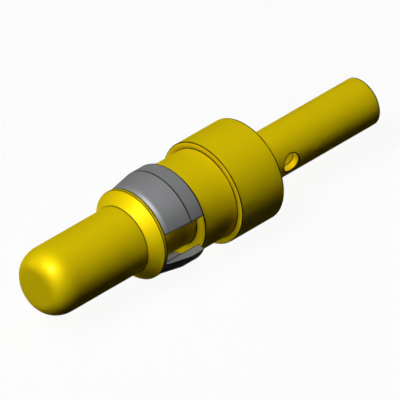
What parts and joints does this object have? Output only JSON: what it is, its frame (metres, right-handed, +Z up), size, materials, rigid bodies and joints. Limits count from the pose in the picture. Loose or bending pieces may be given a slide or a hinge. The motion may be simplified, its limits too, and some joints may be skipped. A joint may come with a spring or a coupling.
{
  "type": "crimp pin contact",
  "caption": "Turned, gold-plated power pin with a round nose, a flange and a crimp barrel with a wire bore, locked in its cavity by a C-shaped spring clip.",
  "frame": {"origin": "centre of the flange's front face, on the contact's axis", "axes": "+X along the axis towards the pin's nose, +Y out through the clip's gap and the inspection hole, +Z up"},
  "size_m": [0.0226, 0.0054, 0.0054],
  "materials": {
    "gold_plating": "satin gold plating over a turned copper alloy",
    "spring_metal": "grey spring metal, satin"
  },
  "bodies": {
    "root": {"contact_body": "gold_plating", "retention_clip": "spring_metal"}
  },
  "joints": []
}
